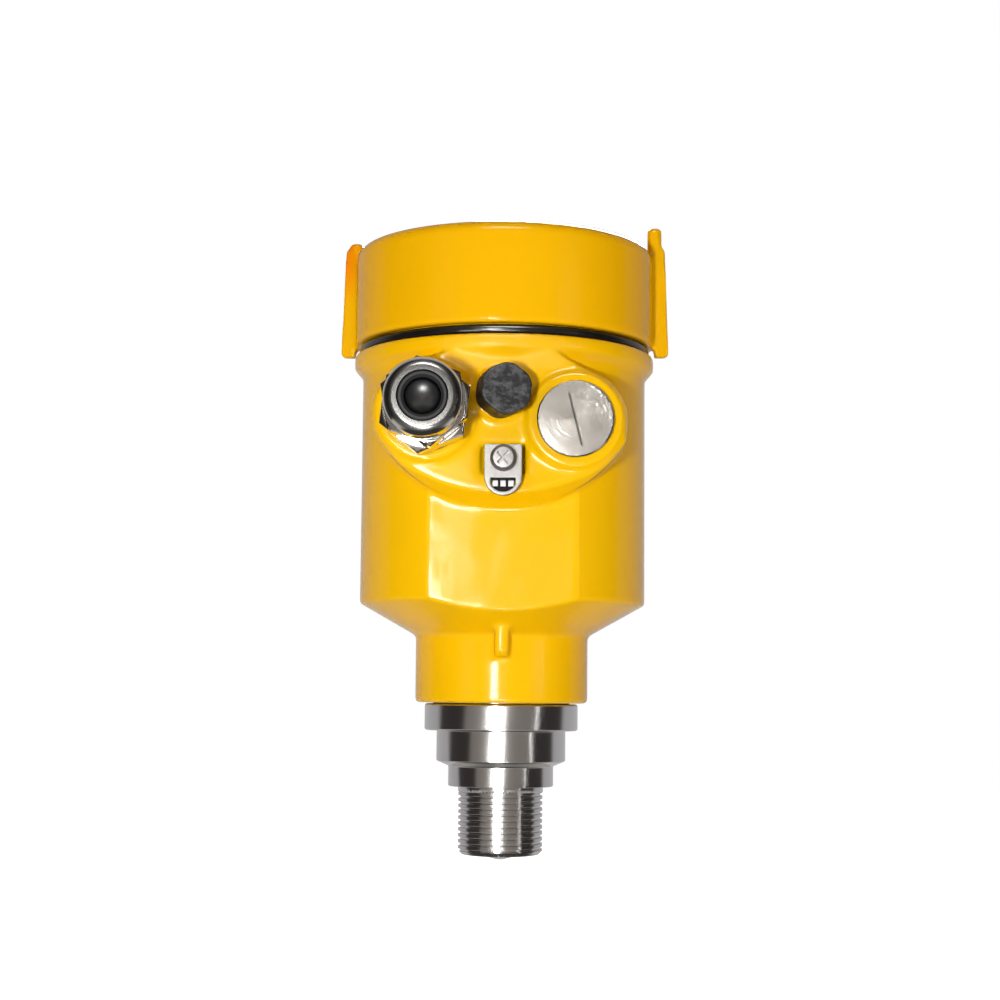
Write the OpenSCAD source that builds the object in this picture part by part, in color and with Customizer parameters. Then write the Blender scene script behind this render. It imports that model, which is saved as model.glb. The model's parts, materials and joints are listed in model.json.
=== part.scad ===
// Radar level transmitter: a die-cast head that turns on a stainless process fitting.
// Frame: the origin is on the vertical axis at the sealing shoulder above the process
// thread, +Z points up through the head and the entry side of the head faces -Y.

/* [Process fitting] */
// Outside diameter of the G 3/4 process thread
thread_d = 26.44; // [24:0.1:28]
// Length of the process thread below the shoulder
thread_len = 21; // [16:0.5:30]
// Chamfer on the free end of the thread
thread_chamfer = 1.3; // [0.5:0.1:2]
// Diameter of the sealing shoulder
shoulder_d = 32.7; // [31:0.1:35]
// Height of the sealing shoulder
shoulder_h = 6.2; // [4:0.1:9]
// Diameter of the hub above the shoulder
hub_d = 40.2; // [37:0.1:43]
// Height of the cone that widens the shoulder to the hub
hub_cone_h = 1.6; // [1:0.1:3]
// Height of the cylindrical hub
hub_h = 9.4; // [6:0.1:14]
// Diameter of the flange that the head turns on
flange_d = 47.8; // [45:0.1:51]
// Height of that flange
flange_h = 8.2; // [6:0.1:12]
// Diameter of the pivot inside the neck of the housing
pivot_d = 42.4; // [39:0.1:44]
// Bore for the signal feed
feed_bore_d = 15; // [13:0.1:17]

/* [Housing] */
// Diameter of the housing body
body_d = 89.2; // [86:0.2:94]
// Thickness of the cast walls
wall = 5; // [4:0.1:6]
// Height of the cylindrical body
body_h = 71; // [68:1:90]
// Outside diameter of the neck
neck_d = 53.8; // [52:0.1:56]
// Height of the neck
neck_h = 20.7; // [18:0.1:28]
// Height of the cone between neck and body
cone_h = 10; // [8:0.1:14]
// Width of the flat cut on the front of the body
facet_w = 44.8; // [36:0.2:50]
// Diameter of the collar under the lid
collar_d = 94.6; // [94:0.1:100]
// Height of the flare that widens the body to the collar
flare_h = 3; // [2:0.1:5]
// Height of the collar
collar_h = 3.9; // [3:0.1:6]
// Diameter of the male thread that takes the lid
lid_thread_d = 85.2; // [84:0.1:86]
// Length of that thread
lid_thread_len = 14.8; // [11:0.1:18]

/* [Front pad] */
// How far the pad stands in front of the round body
pad_proud = 0.2; // [0.1:0.1:1.5]
// Radius of the sweeping lower edge of the pad
pad_sweep_r = 58; // [54:0.5:64]
// Depth of the pad below the top of the body
pad_drop = 40; // [38:0.5:43]
// Width of the sloping band under the middle of that edge
pad_band = 4.4; // [3:0.1:6]
// Radius of the line where the band meets the body
pad_foot_r = 43; // [41:0.5:50]
// Half width of the pad where it runs into the collar
pad_top_half = 14.2; // [12:0.1:15]
// Height of the two port bosses above the pad
boss_h = 1.7; // [1:0.1:2.5]
// Distance of the cable port from the middle
gland_x = 22.8; // [21:0.1:23.5]
// Depth of the cable port below the top of the body
gland_drop = 16; // [15:0.1:18]
// Radius of the boss round the cable port
gland_boss_r = 14.7; // [14:0.1:15.5]
// Distance of the blanked port from the middle
plug_x = 21; // [20.5:0.1:23]
// Depth of the blanked port below the top of the body
plug_drop = 18.6; // [17:0.1:19.5]
// Radius of the boss round the blanked port
plug_boss_r = 13.9; // [13:0.1:15]
// Outside diameter of the M20 port threads
port_d = 20; // [18:0.1:20.5]

/* [Lid] */
// Outside diameter of the lid
lid_d = 94.4; // [93:0.1:99]
// Height of the lid
lid_h = 30.9; // [26:0.1:36]
// Thickness of the lid's top
lid_top_t = 4.2; // [3:0.1:6]
// Radius on the outer top edge
lid_edge_r = 3.6; // [2:0.1:4]
// Thickness of the lid seal
lid_seal_t = 3; // [2.4:0.1:3.6]
// Radius of the upright post on each lug
post_r = 2.3; // [1.8:0.1:2.8]
// Reach of the lugs from the axis at their foot
lug_reach = 52.1; // [51:0.1:55]
// Height of the long post above the lid's top
long_post_h = 8; // [5:0.1:11]
// Height of the short post above the lid's top
short_post_h = 3.4; // [2.5:0.1:5]

/* [Cable gland] */
// Across flats of the body's hexagon
gland_af = 24.6; // [24:0.1:26]
// Thickness of that hexagon
gland_hex_t = 8.5; // [7:0.1:11]
// Across flats of the cap nut's hexagon
nut_af = 23; // [22.6:0.1:24.6]
// Thickness of the cap nut's hexagon
nut_hex_t = 7; // [5:0.1:9]
// Radius of the cap nut's dome
nut_dome_r = 11.3; // [11:0.05:11.5]
// Radius of the opening in the cap nut
nut_hole_r = 7.35; // [7:0.05:7.8]
// Turn of the body's hexagon
gland_turn = 352; // [300:1:359]
// Turn of the cap nut's hexagon
nut_turn = 9; // [0:1:59]

/* [Plug and vent] */
// Radius of the blanking plug's head
plug_head_r = 11.3; // [11:0.1:12]
// Thickness of that head
plug_head_t = 1.6; // [1.2:0.1:2.4]
// Length of the slot across it
slot_len = 16.2; // [12:0.1:19]
// Width of the slot
slot_w = 1.4; // [1:0.1:2]
// Lean of the slot
slot_lean = 14; // [0:1:45]
// Across flats of the vent cap
vent_af = 13.8; // [12:0.1:15]
// Height of the vent cap
vent_h = 9.5; // [8:0.1:12]
// Outward lean of the vent towards the blanked port
vent_lean = 12; // [0:1:14]

/* [Earth clamp] */
// Width of the clamp plate
clamp_w = 11; // [10:0.1:12]
// Height of the clamp plate
clamp_h = 15; // [14:0.1:17]
// Thickness of the clamp plate
clamp_t = 1.6; // [1:0.1:2]
// Depth of the pocket behind it
pocket_depth = 2; // [1:0.1:3]
// Radius of the earth screw's head
earth_head_r = 3.85; // [3.4:0.05:4]

/* [Electronics] */
// Height of the electronics cup
cup_h = 33; // [28:0.5:34]
// Gap between the cup and the wall of the housing
cup_gap = 9.6; // [8.4:0.1:12]
// Width of the terminal block
terminal_w = 38; // [36:0.5:44]
// Depth of the terminal block
terminal_d = 14; // [12:0.5:16]
// Height of the terminal block
terminal_h = 9; // [7:0.1:10]
// Width of the screened radar module
module_w = 28; // [24:0.5:29]
// Depth of the screened radar module
module_d = 22; // [18:0.5:22]
// Height of the screened radar module
module_h = 7; // [5:0.5:9]

/* [Hidden] */
$fn = 96;

yellow = [0.96, 0.76, 0.03];
steel = [0.75, 0.74, 0.73];
nickel = [0.80, 0.78, 0.74];
black = [0.08, 0.08, 0.09];
white = [0.93, 0.93, 0.91];
green = [0.10, 0.36, 0.20];
gold = [0.85, 0.68, 0.30];
grey = [0.45, 0.46, 0.48];

eps = 0.01;
run_gap = 0.3;      // end gap between pieces that turn or lift apart
turn_clear = 0.06;  // radial clearance of the head on its pivot
fit_clear = 0.1;    // radial clearance of screwed pieces

// heights up the axis
hub_z = shoulder_h + hub_cone_h;
flange_z = hub_z + hub_h;
flange_top = flange_z + flange_h;
neck_z = flange_top + run_gap;
cone_z = neck_z + neck_h;
body_z = cone_z + cone_h;
body_top = body_z + body_h;
collar_z = body_top + flare_h;
collar_top = collar_z + collar_h;
lid_z = collar_top + lid_seal_t + run_gap;
lid_top = lid_z + lid_h;

// housing inside
body_r = body_d / 2;
neck_r = neck_d / 2;
cone_slope = cone_h / (body_r - neck_r);
cavity_r = body_r - wall;
facet_y = sqrt(body_r * body_r - facet_w * facet_w / 4);
cavity_y = facet_y - wall + 0.5;
pad_y = body_r + pad_proud;
boss_y = pad_y + boss_h;
floor_z = cone_z + 3.8;
floor_r = neck_r + 0.1;
mouth_r = lid_thread_d / 2 - 3.6;

// pivot and what sits on it
pivot_r = pivot_d / 2;
ring_t = 1.6;
ring_z = floor_z + run_gap;
ring_groove = 1.6;
pivot_top = ring_z + ring_t + 2;
seal_section = 1.1;
seal_heights = [neck_z + 5.5, neck_z + 11.5];
lock_z = neck_z + neck_h - 4.2;
lock_r = 2;

// feed
feed_r = feed_bore_d / 2;
nose_r = 6.2;
nose_drop = 1.7;
rod_r = 1.5;
insulator_head_r = 10;
insulator_head_h = 3;

// cup
cup_r = cavity_r - cup_gap;
cup_ear = cavity_r - 3.6;
cup_lug_r = cup_gap - 4.6;
cup_bottom = pivot_top + insulator_head_h + 5;
cup_top = cup_bottom + cup_h;
cup_plate_t = 3;
cup_lug_top = cup_top - cup_plate_t;
rod_top = cup_bottom + 6;
board_z = cup_bottom + 17;
board_hole_r = cup_r - 6;
terminal_pitch = 9;
terminal_x = [for (i = [-1.5:1.5]) i * terminal_pitch];
terminal_y = terminal_d / 2 + 1;

// front pieces
gland_z = body_top - gland_drop;
plug_z = body_top - plug_drop;
vent_x = -1.5;
vent_z = body_top - 11;
earth_z = body_top - 30.5;
pocket_w = clamp_w + 2.3;
pocket_top = earth_z + 4.3;
pocket_bottom = earth_z - 4.3;
sweep_z = body_top - pad_drop + pad_sweep_r;
gland_seal_t = 1.2;
gland_hex_y = boss_y + gland_seal_t;
gland_front_y = gland_hex_y + gland_hex_t;
nut_y = gland_front_y + 1;
nut_len = nut_hex_t + 9.3;
gland_thread_r = 9.6;
gland_bore_r = 6.5;
cage_r = 8.2;
vent_boss_h = 1.6;
vent_seal_t = 0.8;
vent_stem_r = 4;
plug_seal_t = 0.6;
jaw_t = 1.6;
clamp_y = pad_y + jaw_t + 0.1;
washer_t = 0.7;
earth_shank_r = 2;
earth_hole_r = earth_shank_r + 0.25;

// a piece whose local +Z points out of the front, at height z and distance y from the axis
module on_front(x, y, z) {
    translate([x, -y, z]) rotate([90, 0, 0]) children();
}

// a piece in the vent's own leaning frame
module on_vent(out) {
    translate([vent_x, -pad_y, vent_z]) rotate([0, 0, vent_lean]) rotate([90, 0, 0])
        translate([0, 0, out]) children();
}

// half profile of a torus round the axis
module ring_of(centre_r, section_r) {
    rotate_extrude() translate([centre_r, 0]) circle(r = section_r, $fn = 32);
}

// hexagonal bar with both end faces chamfered like a turned nut, vertices up
module hex_nut(af, h) {
    corner_r = af / sqrt(3);
    bevel = corner_r - af / 2;
    intersection() {
        rotate([0, 0, 90]) cylinder(r = corner_r, h = h, $fn = 6);
        rotate_extrude() polygon([[0, 0], [af / 2, 0], [corner_r, bevel * 0.6],
            [corner_r, h - bevel * 0.6], [af / 2, h], [0, h]]);
    }
}

module process_fitting() {
    thread_r = thread_d / 2;
    hub_r = hub_d / 2;
    flange_r = flange_d / 2;
    color(steel) difference() {
        rotate_extrude() polygon([[0, -thread_len], [thread_r - thread_chamfer, -thread_len],
            [thread_r, thread_chamfer - thread_len], [thread_r, 0], [shoulder_d / 2, 0],
            [shoulder_d / 2, shoulder_h], [hub_r, hub_z], [hub_r, flange_z], [flange_r - 0.4, flange_z],
            [flange_r, flange_z + 0.4], [flange_r, flange_top - 0.4], [flange_r - 0.4, flange_top],
            [pivot_r, flange_top], [pivot_r, pivot_top - 1], [pivot_r - 1, pivot_top], [0, pivot_top]]);
        translate([0, 0, -thread_len - 1]) cylinder(r = feed_r, h = thread_len + pivot_top + 2);
        for (z = seal_heights) translate([0, 0, z]) groove(pivot_r - 2.3, 2.6);
        translate([0, 0, ring_z + ring_t / 2]) groove(pivot_r - ring_groove, ring_t + 0.2);
        translate([0, 0, lock_z]) groove(pivot_r - 1.6, 2 * lock_r + 1);
    }
}

// a square groove of width w down to radius r, centred on its height
module groove(r, w) {
    translate([0, 0, -w / 2]) difference() {
        cylinder(r = pivot_r + 1, h = w);
        translate([0, 0, -1]) cylinder(r = r, h = w + 2);
    }
}

module neck_seals() {
    color(black) for (z = seal_heights)
        translate([0, 0, z]) ring_of(pivot_r - 0.1 - seal_section, seal_section);
}

module retaining_ring() {
    inner_r = pivot_r - ring_groove + 0.2;
    color(steel) translate([0, 0, ring_z]) difference() {
        cylinder(r = pivot_r + 2.6, h = ring_t);
        translate([0, 0, -1]) cylinder(r = inner_r, h = ring_t + 2);
        translate([-1.5, 0, -1]) cube([3, pivot_r + 4, ring_t + 2]);
    }
}

module feed_insulator() {
    color(white) difference() {
        union() {
            translate([0, 0, 0.4 - thread_len]) cylinder(r = feed_r - fit_clear, h = thread_len + pivot_top);
            translate([0, 0, pivot_top]) cylinder(r = insulator_head_r, h = insulator_head_h);
        }
        translate([0, 0, -thread_len - 1]) cylinder(r = rod_r + 0.05, h = thread_len + pivot_top + 6);
        translate([0, 0, -thread_len - 1]) cylinder(r = nose_r + 0.05, h = 2.6);
        translate([0, 0, shoulder_h]) difference() {
            cylinder(r = feed_r + 1, h = 2.6);
            translate([0, 0, -1]) cylinder(r = feed_r - 2.3, h = 5);
        }
    }
}

module feed_seal() {
    color(black) translate([0, 0, shoulder_h + 1.3]) ring_of(feed_r - 1.15, 1.1);
}

module feed_rod() {
    color(gold) translate([0, 0, 4 - thread_len]) cylinder(r = rod_r, h = thread_len - 4 + rod_top);
}

// conical steel tip that closes the feed below the thread
module feed_nose() {
    seat_z = 1.2 - thread_len;
    color(steel) rotate_extrude() polygon([[0, -thread_len - nose_drop],
        [1.2, -thread_len - nose_drop + 0.1], [nose_r - 0.5, -thread_len - 0.35], [nose_r, -thread_len],
        [nose_r, seat_z], [rod_r, seat_z], [rod_r, 3.8 - thread_len], [0, 3.8 - thread_len]]);
}

module housing_outside() {
    collar_r = collar_d / 2;
    thread_r = lid_thread_d / 2;
    spigot_top = collar_top + lid_thread_len;
    rotate_extrude() polygon([[0, neck_z], [neck_r - 0.5, neck_z], [neck_r, neck_z + 0.5],
        [neck_r, cone_z], [body_r, body_z], [body_r, body_top], [collar_r, collar_z],
        [collar_r, collar_top - 0.4], [collar_r - 0.4, collar_top], [thread_r, collar_top],
        [thread_r, spigot_top - 1], [thread_r - 1, spigot_top], [0, spigot_top]]);
}

module housing_inside() {
    inner_z = floor_z + (cavity_r - floor_r) * cone_slope;
    intersection() {
        rotate_extrude() polygon([[0, floor_z], [floor_r, floor_z], [cavity_r, inner_z],
            [cavity_r, body_top], [mouth_r, body_top + (cavity_r - mouth_r)],
            [mouth_r, collar_top + lid_thread_len + 1], [0, collar_top + lid_thread_len + 1]]);
        translate([-body_r, -cavity_y, floor_z - 1]) cube([body_d, cavity_y + body_r, body_h + 60]);
    }
    translate([0, 0, collar_top]) cylinder(r = mouth_r, h = lid_thread_len + 1);
}

// the point where a line from p touches the circle at c, on the side given by sign s
function touch(p, c, r, s) =
    let (d = norm(p - c), a = atan2(p[1] - c[1], p[0] - c[0]) + s * acos(r / d))
    [c[0] + r * cos(a), c[1] + r * sin(a)];

// outline of the front pad, drawn in x and z
module pad_outline() {
    gland_c = [-gland_x, gland_z];
    plug_c = [plug_x, plug_z];
    gland_r = gland_boss_r + 0.7;
    plug_r = plug_boss_r + 1.1;
    left_top = [-pad_top_half, body_top + 2.5];
    right_top = [pad_top_half, body_top + 2.5];
    foot = sweep_z - pad_sweep_r - pad_band;
    intersection() {
        union() {
            polygon([left_top, [-pad_top_half, collar_z + 1], [pad_top_half, collar_z + 1], right_top,
                touch(right_top, plug_c, plug_r, -1), plug_c + [plug_r, 0], [plug_x + plug_r, foot - 1],
                [-gland_x - gland_r, foot - 1], gland_c - [gland_r, 0],
                touch(left_top, gland_c, gland_r, 1)]);
            translate(gland_c) circle(r = gland_r);
            translate(plug_c) circle(r = plug_r);
        }
        union() {
            translate([0, foot + pad_foot_r]) circle(r = pad_foot_r, $fn = 192);
            translate([-body_r, foot + pad_foot_r]) square([body_d, body_d]);
        }
    }
}

module pad() {
    depth = pad_y - 22;
    band_slope = pad_band / (pad_y - facet_y);
    intersection() {
        on_front(0, pad_y - depth, 0) linear_extrude(depth) pad_outline();
        on_front(0, pad_y - depth, sweep_z)
            cylinder(r1 = pad_sweep_r + depth * band_slope, r2 = pad_sweep_r, h = depth, $fn = 192);
    }
    on_front(-gland_x, pad_y - 2, gland_z)
        cylinder(r1 = gland_boss_r + 2.2, r2 = gland_boss_r, h = boss_h + 2);
    on_front(plug_x, pad_y - 2, plug_z)
        cylinder(r1 = plug_boss_r + 2.2, r2 = plug_boss_r, h = boss_h + 2);
    on_vent(-3) cylinder(r = vent_af / 2 + 1, h = vent_boss_h + 3);
}

// cast rib on the front of the neck, drafted and bevelled below
module neck_rib() {
    rib_y = neck_r + 5.1;
    rib_z = cone_z - 6.8;
    intersection() {
        translate([0, 0, rib_z]) linear_extrude(12) polygon([[-2.5, 4 - neck_r], [-2, -rib_y],
            [2, -rib_y], [2.5, 4 - neck_r]]);
        rotate([90, 0, 90]) translate([0, 0, -4]) linear_extrude(8) polygon([[4 - neck_r, rib_z],
            [1.6 - rib_y, rib_z], [-rib_y, rib_z + 1.6], [-rib_y, cone_z + 3], [1 - rib_y, cone_z + 5],
            [4 - neck_r, cone_z + 5]]);
    }
}

module housing() {
    color(yellow) difference() {
        union() {
            difference() {
                housing_outside();
                translate([-body_r, -body_r - 5, neck_z + neck_h / 2])
                    cube([body_d, body_r + 5 - facet_y, body_top - 30 - neck_z - neck_h / 2]);
            }
            pad();
            neck_rib();
        }
        difference() {
            housing_inside();
            for (x = [-cup_ear, cup_ear]) translate([x, 0, cone_z])
                cylinder(r = cup_lug_r, h = cup_lug_top - cone_z);
        }
        translate([0, 0, neck_z - 1]) cylinder(r = pivot_r + turn_clear, h = neck_h + 6);
        on_front(-gland_x, cavity_y - 3, gland_z) cylinder(r = port_d / 2 + fit_clear, h = 20);
        on_front(plug_x, cavity_y - 3, plug_z) cylinder(r = port_d / 2 + fit_clear, h = 20);
        on_vent(-14) cylinder(r = vent_stem_r + fit_clear, h = 20);
        on_front(-pocket_w / 2, pad_y - pocket_depth, pocket_bottom)
            cube([pocket_w, pocket_top - pocket_bottom, 5]);
        on_front(0, cavity_y + 2, earth_z) cylinder(r = earth_shank_r + fit_clear, h = 12);
        for (x = [-cup_ear, cup_ear]) translate([x, 0, cup_lug_top - 10]) cylinder(r = 1.6, h = 11);
        translate([0, 0, lock_z]) rotate([-90, 0, 0]) cylinder(r = lock_r + fit_clear, h = neck_r + 1);
    }
}

// grub screw in the back of the neck that stops the head from turning
module lock_screw() {
    tip_y = pivot_r - 1;
    color(steel) translate([0, tip_y, lock_z]) rotate([-90, 0, 0]) difference() {
        union() {
            cylinder(r1 = lock_r - 1.1, r2 = lock_r, h = 1.1);
            translate([0, 0, 1.1]) cylinder(r = lock_r, h = neck_r - tip_y - 1.7);
        }
        translate([0, 0, neck_r - tip_y - 2.6]) cylinder(r = 1.15, h = 3, $fn = 6);
    }
}

// a lug: an upright post half sunk in the lid's wall with a slim fin outside it
module lug(post_h) {
    fin_top = lid_top + 1.6;
    foot_z = collar_top + 0.5;
    tip_z = lid_top + post_h;
    edge_r = 1.1;
    difference() {
        union() {
            translate([lid_d / 2 + 0.5, 0, foot_z]) rotate_extrude() {
                square([post_r - edge_r, tip_z - foot_z]);
                square([post_r, tip_z - foot_z - edge_r]);
                translate([post_r - edge_r, tip_z - foot_z - edge_r]) circle(r = edge_r, $fn = 32);
            }
            rotate([90, 0, 0]) translate([0, 0, -1.6]) linear_extrude(3.2) polygon([[lid_d / 2 - 1, foot_z],
                [lug_reach - 1, foot_z], [lug_reach, foot_z + 1], [lug_reach - 1.1, fin_top - 0.8],
                [lug_reach - 1.9, fin_top], [lid_d / 2 - 1, fin_top]]);
        }
        translate([0, 0, foot_z - 1]) cylinder(r = max(collar_d, lid_d) / 2 + 0.3, h = lid_z - foot_z + 1);
        translate([0, 0, lid_z - 1]) cylinder(r = lid_d / 2 - 2.4, h = lid_h + 12);
    }
}

module lid() {
    r = lid_d / 2;
    bore_r = lid_thread_d / 2 + 0.5;
    color(yellow) {
        difference() {
            union() {
                translate([0, 0, lid_z]) rotate_extrude() {
                    polygon([[0, 0], [r - 0.5, 0], [r, 0.5], [r, lid_h - lid_edge_r],
                        [0, lid_h - lid_edge_r]]);
                    square([r - lid_edge_r, lid_h]);
                    translate([r - lid_edge_r, lid_h - lid_edge_r]) circle(r = lid_edge_r);
                }
                rotate([0, 0, -3]) lug(long_post_h);
                rotate([0, 0, 177]) lug(short_post_h);
            }
            translate([0, 0, lid_z - 1]) cylinder(r = bore_r, h = lid_thread_len + 1);
            translate([0, 0, lid_z]) cylinder(r = bore_r - 1, h = lid_h - lid_top_t);
        }
    }
}

module lid_seal() {
    color(black) translate([0, 0, collar_top + lid_seal_t / 2])
        ring_of(lid_thread_d / 2 + 0.3 + lid_seal_t / 2, lid_seal_t / 2);
}

module gland_body() {
    tail = boss_y - cavity_y;
    color(nickel) on_front(-gland_x, gland_hex_y, gland_z) difference() {
        union() {
            rotate([0, 0, gland_turn]) hex_nut(gland_af, gland_hex_t);
            translate([0, 0, -gland_seal_t - tail]) cylinder(r = port_d / 2, h = tail + gland_seal_t + eps);
            translate([0, 0, gland_hex_t - eps]) cylinder(r = gland_thread_r, h = nut_hex_t + 3);
        }
        translate([0, 0, -tail - 5]) cylinder(r = gland_bore_r, h = tail + gland_hex_t + nut_hex_t + 12);
        translate([0, 0, gland_hex_t + 1]) cylinder(r = cage_r + fit_clear, h = nut_hex_t + 6);
    }
}

module gland_seal() {
    color(black) on_front(-gland_x, boss_y, gland_z) difference() {
        cylinder(r = 12.4, h = gland_seal_t);
        translate([0, 0, -1]) cylinder(r = port_d / 2 + fit_clear, h = gland_seal_t + 2);
    }
}

module gland_nut() {
    dome_z = nut_len - 7;
    color(nickel) on_front(-gland_x, nut_y, gland_z) difference() {
        union() {
            rotate([0, 0, nut_turn]) hex_nut(nut_af, nut_hex_t);
            rotate_extrude() intersection() {
                union() {
                    square([nut_dome_r, dome_z]);
                    translate([0, dome_z]) circle(r = nut_dome_r);
                }
                square([nut_dome_r + 1, nut_len]);
            }
        }
        translate([0, 0, -1]) cylinder(r = gland_thread_r + 0.15, h = nut_len - 5);
        cylinder(r = nut_hole_r, h = nut_len + 1);
    }
}

module gland_grommet() {
    r = nut_hole_r - 0.15;
    sleeve_r = gland_bore_r - 0.2;
    color(black) on_front(-gland_x, nut_y, gland_z) rotate_extrude() polygon([[5.3, 2], [sleeve_r, 2],
        [sleeve_r, nut_len - 6], [r, nut_len - 6], [r, nut_len - 0.6], [r - 0.45, nut_len - 0.2],
        [6.1, nut_len - 0.2], [5.3, nut_len - 1]]);
}

module gland_clamp_cage() {
    color(black) on_front(-gland_x, nut_y, gland_z) difference() {
        cylinder(r = cage_r, h = nut_len - 6.2);
        translate([0, 0, -1]) cylinder(r = gland_bore_r - 0.1, h = nut_len);
        for (a = [0:60:300]) rotate([0, 0, a]) translate([5, -0.5, 4]) cube([5, 1, nut_len]);
    }
}

// rubber ball plug that keeps dust out of the empty gland
module dust_plug() {
    color(black) on_front(-gland_x, nut_y, gland_z) rotate_extrude() intersection() {
        union() {
            translate([0, nut_len - 3.8]) circle(r = 5.2);
            translate([0, nut_len - 13]) square([4.4, 8]);
            translate([0, nut_len - 13]) square([4.9, 2]);
        }
        square([6, nut_len + 4]);
    }
}

module vent_cap() {
    color(black) on_vent(vent_boss_h + vent_seal_t) {
        rotate([0, 0, -6]) hex_nut(vent_af, vent_h);
        translate([0, 0, -9]) cylinder(r = vent_stem_r, h = 9 + eps);
    }
}

module vent_seal() {
    color(black) on_vent(vent_boss_h) difference() {
        cylinder(r = vent_stem_r + 2, h = vent_seal_t);
        translate([0, 0, -1]) cylinder(r = vent_stem_r + fit_clear, h = vent_seal_t + 2);
    }
}

module vent_membrane() {
    color(white) on_vent(vent_boss_h + vent_seal_t - 9.4) cylinder(r = 3, h = 0.4);
}

module blanking_plug() {
    tail = boss_y - cavity_y;
    color(steel) on_front(plug_x, boss_y + plug_seal_t, plug_z) difference() {
        union() {
            rotate_extrude() polygon([[0, 0], [plug_head_r, 0], [plug_head_r, plug_head_t - 0.4],
                [plug_head_r - 0.4, plug_head_t], [0, plug_head_t]]);
            translate([0, 0, -tail - plug_seal_t]) cylinder(r = port_d / 2, h = tail + plug_seal_t + eps);
        }
        rotate([0, 0, slot_lean]) translate([-slot_w / 2, -slot_len / 2 - 0.4, plug_head_t - 1.1])
            cube([slot_w, slot_len, 2]);
    }
}

module blanking_plug_seal() {
    color(black) on_front(plug_x, boss_y, plug_z) difference() {
        cylinder(r = plug_head_r - 0.2, h = plug_seal_t - 0.05);
        translate([0, 0, -1]) cylinder(r = port_d / 2 + fit_clear, h = 3);
    }
}

// outline of the clamp plate: square above, half round below, screw at the origin
module clamp_outline() {
    half = clamp_w / 2;
    top = 4.2;
    low = top - clamp_h + half;
    translate([-half, low]) square([clamp_w, top - low]);
    translate([0, low]) circle(r = half);
}

// the window that shows the jaw's teeth, flat above and round below
module clamp_window() {
    top = -5.6;
    intersection() {
        translate([-3.6, top - 4.1]) square([7.2, 4.1]);
        translate([0, top - 0.2]) circle(r = 3.9);
    }
}

module ground_clamp() {
    color(steel) on_front(0, clamp_y, earth_z) difference() {
        linear_extrude(clamp_t) clamp_outline();
        translate([0, 0, -1]) cylinder(r = earth_hole_r, h = clamp_t + 2);
        translate([0, 0, -1]) linear_extrude(clamp_t + 2) clamp_window();
    }
}

module ground_jaw() {
    back = pocket_depth - 0.1;
    color(steel) on_front(0, pad_y, earth_z) difference() {
        union() {
            translate([-5.3, -4.1, -back]) cube([10.6, 8.2, back + jaw_t]);
            translate([-4, -9.9, 0.2]) cube([8, 6.9, jaw_t - 0.9]);
            for (x = [-2.3, 0, 2.3]) translate([x - 0.8, -8, 0.2]) cube([1.6, 2.6, jaw_t - 0.2]);
        }
        translate([0, 0, -back - 1]) cylinder(r = earth_hole_r, h = back + jaw_t + 2);
    }
}

module ground_washer() {
    color(steel) on_front(0, clamp_y + clamp_t, earth_z) difference() {
        cylinder(r = earth_head_r + 0.1, h = washer_t);
        translate([0, 0, -1]) cylinder(r = earth_hole_r, h = washer_t + 2);
    }
}

module ground_screw() {
    head_y = clamp_y + clamp_t + washer_t + 0.05;
    shank = head_y - cavity_y - 2.6;
    color(steel) on_front(0, head_y, earth_z) difference() {
        union() {
            rotate_extrude() polygon([[0, 0], [earth_head_r, 0], [earth_head_r, 1.4],
                [earth_head_r - 0.9, 2.3], [0, 2.5]]);
            translate([0, 0, -shank]) cylinder(r = earth_shank_r, h = shank + eps);
        }
        for (a = [45, 135]) rotate([0, 0, a]) translate([-2.3, -0.4, 1.1]) cube([4.6, 0.8, 3]);
    }
}

// potted cup that holds the electronics and carries the terminals
module electronics_cup() {
    plate_r = cavity_r - 0.6;
    color(black) difference() {
        union() {
            translate([0, 0, cup_bottom]) cylinder(r = cup_r, h = cup_h);
            intersection() {
                translate([0, 0, cup_lug_top]) cylinder(r = plate_r, h = cup_plate_t);
                translate([-body_r, 0.6 - cavity_y, cup_lug_top]) cube([body_d, 2 * body_r, cup_plate_t]);
            }
        }
        translate([0, 0, cup_bottom + 2.4]) cylinder(r = cup_r - 2, h = cup_h - 2.4 - cup_plate_t);
        translate([0, 0, cup_bottom - 1]) cylinder(r = 4.2, h = 6);
        for (x = [-cup_ear, cup_ear]) translate([x, 0, cup_lug_top - 1]) cylinder(r = 1.75, h = 6);
    }
}

module cup_screws() {
    color(steel) for (x = [-cup_ear, cup_ear]) translate([x, 0, cup_top]) difference() {
        union() {
            cylinder(r = 2.75, h = 2);
            translate([0, 0, -cup_plate_t - 8]) cylinder(r = 1.5, h = cup_plate_t + 8 + eps);
        }
        for (a = [0, 90]) rotate([0, 0, a]) translate([-1.6, -0.35, 1]) cube([3.2, 0.7, 2]);
    }
}

module main_board() {
    color(green) translate([0, 0, board_z]) difference() {
        cylinder(r = cup_r - 2.6, h = 1.6);
        for (a = [45:90:315]) rotate([0, 0, a]) translate([board_hole_r, 0, -1]) cylinder(r = 1.2, h = 4);
    }
}

module board_pillars() {
    color(gold) for (a = [45:90:315]) rotate([0, 0, a])
        translate([board_hole_r, 0, cup_bottom + 2.4])
            cylinder(r = 2.4, h = board_z - cup_bottom - 2.4, $fn = 6);
}

module rf_module() {
    color(grey) translate([0, 0, board_z - module_h]) difference() {
        translate([-module_w / 2, -module_d / 2, 0]) cube([module_w, module_d, module_h - 0.05]);
        translate([0, 0, -1]) cylinder(r = 4.1, h = 3);
    }
}

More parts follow.
